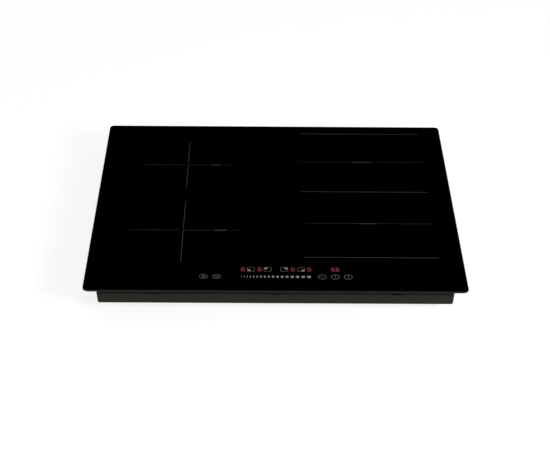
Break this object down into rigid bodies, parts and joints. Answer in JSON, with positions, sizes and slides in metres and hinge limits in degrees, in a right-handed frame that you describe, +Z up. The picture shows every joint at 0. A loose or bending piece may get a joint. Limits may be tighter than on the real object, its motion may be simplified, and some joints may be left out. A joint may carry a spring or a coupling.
{
  "type": "induction hob",
  "caption": "Built-in induction hob with a black glass top, round cooking zones on the left, a flexible zone on the right and a touch panel at the front.",
  "frame": {"origin": "centre of the plane on which the seal under the glass rests on the worktop", "axes": "+X to the user's right, +Y to the back of the hob, +Z up out of the worktop; the touch panel is at -Y"},
  "size_m": [0.59, 0.52, 0.058],
  "materials": {
    "black_glass": "polished glass-ceramic, opaque black",
    "foam_seal": "matt foam",
    "silicone": "satin silicone bead",
    "galvanised_steel": "satin zinc",
    "grey_enamel": "fine powder coat",
    "zinc_fastener": "zinc plated",
    "aluminium_sheet": "mill finish",
    "circuit_board": "solder mask",
    "white_plastic": "moulded",
    "black_plastic": "moulded",
    "display_plastic": "smooth",
    "contact_spring": "plated wire",
    "spring_steel": "drawn wire",
    "sensor_film": "film on foam",
    "ribbon": "flat cable",
    "extruded_aluminium": "extruded",
    "package_epoxy": "moulded epoxy",
    "capacitor_case": "moulded",
    "ferrite": "sintered",
    "copper_wire": "enamelled",
    "litz_wire": "stranded, varnished",
    "coil_plastic": "glass-filled, moulded",
    "mica": "pressed sheet",
    "sensor_rubber": "silicone holder",
    "lead_sleeve": "silicone sleeve",
    "lamination": "varnished laminations"
  },
  "bodies": {
    "casing": {"glass_top": "black_glass", "edge_seal": "foam_seal", "glass_adhesive": "silicone", "glass_frame": "grey_enamel", "base_pan": "grey_enamel", "casing_screws": "zinc_fastener", "support_plate": "aluminium_sheet", "control_board": "circuit_board", "panel_carrier": "black_plastic", "digit_displays": "display_plastic", "touch_springs": "contact_spring", "slider_sensor": "sensor_film", "ribbon_cable": "ribbon", "power_board_left": "circuit_board", "power_board_right": "circuit_board", "heat_sinks": "extruded_aluminium", "power_transistors": "package_epoxy", "bridge_rectifiers": "package_epoxy", "film_capacitors": "capacitor_case", "choke_cores": "ferrite", "choke_windings": "copper_wire", "relays": "black_plastic", "filter_board": "circuit_board", "terminal_block": "white_plastic", "terminal_cover": "grey_enamel", "terminal_cover_screws": "zinc_fastener", "cable_clamp": "black_plastic", "blower_housings": "black_plastic", "blower_lids": "black_plastic", "blower_motors": "lamination", "temperature_sensors": "sensor_rubber", "coil_leads": "lead_sleeve", "clamp_spacers": "zinc_fastener", "clamp_screws": "zinc_fastener", "springs_fl": "spring_steel", "springs_rl": "spring_steel", "springs_fr": "spring_steel", "springs_rr": "spring_steel"},
    "coil_head_fl": {"coil_carrier_fl": "coil_plastic", "coil_winding_fl": "litz_wire", "ferrites_fl": "ferrite", "mica_sheet_fl": "mica"},
    "coil_head_rl": {"coil_carrier_rl": "coil_plastic", "coil_winding_rl": "litz_wire", "ferrites_rl": "ferrite", "mica_sheet_rl": "mica"},
    "coil_head_fr": {"coil_carrier_fr": "coil_plastic", "coil_winding_fr": "litz_wire", "ferrites_fr": "ferrite", "mica_sheet_fr": "mica"},
    "coil_head_rr": {"coil_carrier_rr": "coil_plastic", "coil_winding_rr": "litz_wire", "ferrites_rr": "ferrite", "mica_sheet_rr": "mica"},
    "impeller_left": {"blower_rotor_left": "black_plastic"},
    "impeller_right": {"blower_rotor_right": "black_plastic"},
    "fixing_clamp_fl": {"clamp_fl": "galvanised_steel"},
    "fixing_clamp_rl": {"clamp_rl": "galvanised_steel"},
    "fixing_clamp_fr": {"clamp_fr": "galvanised_steel"},
    "fixing_clamp_rr": {"clamp_rr": "galvanised_steel"}
  },
  "joints": [
    {"name": "coil_press_fl", "type": "slide", "parent": "casing", "child": "coil_head_fl", "axis": [0, 0, -1], "range_m": [0, 0.0025], "stiffness_N_per_m": 8000, "springref_m": -0.002, "deforming": ["springs_fl"]},
    {"name": "coil_press_rl", "type": "slide", "parent": "casing", "child": "coil_head_rl", "axis": [0, 0, -1], "range_m": [0, 0.0025], "stiffness_N_per_m": 8000, "springref_m": -0.002, "deforming": ["springs_rl"]},
    {"name": "coil_press_fr", "type": "slide", "parent": "casing", "child": "coil_head_fr", "axis": [0, 0, -1], "range_m": [0, 0.0025], "stiffness_N_per_m": 8000, "springref_m": -0.002, "deforming": ["springs_fr"]},
    {"name": "coil_press_rr", "type": "slide", "parent": "casing", "child": "coil_head_rr", "axis": [0, 0, -1], "range_m": [0, 0.0025], "stiffness_N_per_m": 8000, "springref_m": -0.002, "deforming": ["springs_rr"]},
    {"name": "impeller_spin_left", "type": "hinge", "parent": "casing", "child": "impeller_left", "pos_m": [-0.15, 0.16, -0.04], "axis": [0, 0, 1], "continuous": true},
    {"name": "impeller_spin_right", "type": "hinge", "parent": "casing", "child": "impeller_right", "pos_m": [0.15, 0.16, -0.04], "axis": [0, 0, 1], "continuous": true},
    {"name": "clamp_swing_fl", "type": "hinge", "parent": "casing", "child": "fixing_clamp_fl", "pos_m": [-0.261, -0.15, -0.043], "axis": [0, 0, 1], "range_deg": [0, 90]},
    {"name": "clamp_swing_rl", "type": "hinge", "parent": "casing", "child": "fixing_clamp_rl", "pos_m": [-0.261, 0.15, -0.043], "axis": [0, 0, -1], "range_deg": [0, 90]},
    {"name": "clamp_swing_fr", "type": "hinge", "parent": "casing", "child": "fixing_clamp_fr", "pos_m": [0.261, -0.15, -0.043], "axis": [0, 0, -1], "range_deg": [0, 90]},
    {"name": "clamp_swing_rr", "type": "hinge", "parent": "casing", "child": "fixing_clamp_rr", "pos_m": [0.261, 0.15, -0.043], "axis": [0, 0, 1], "range_deg": [0, 90]}
  ]
}
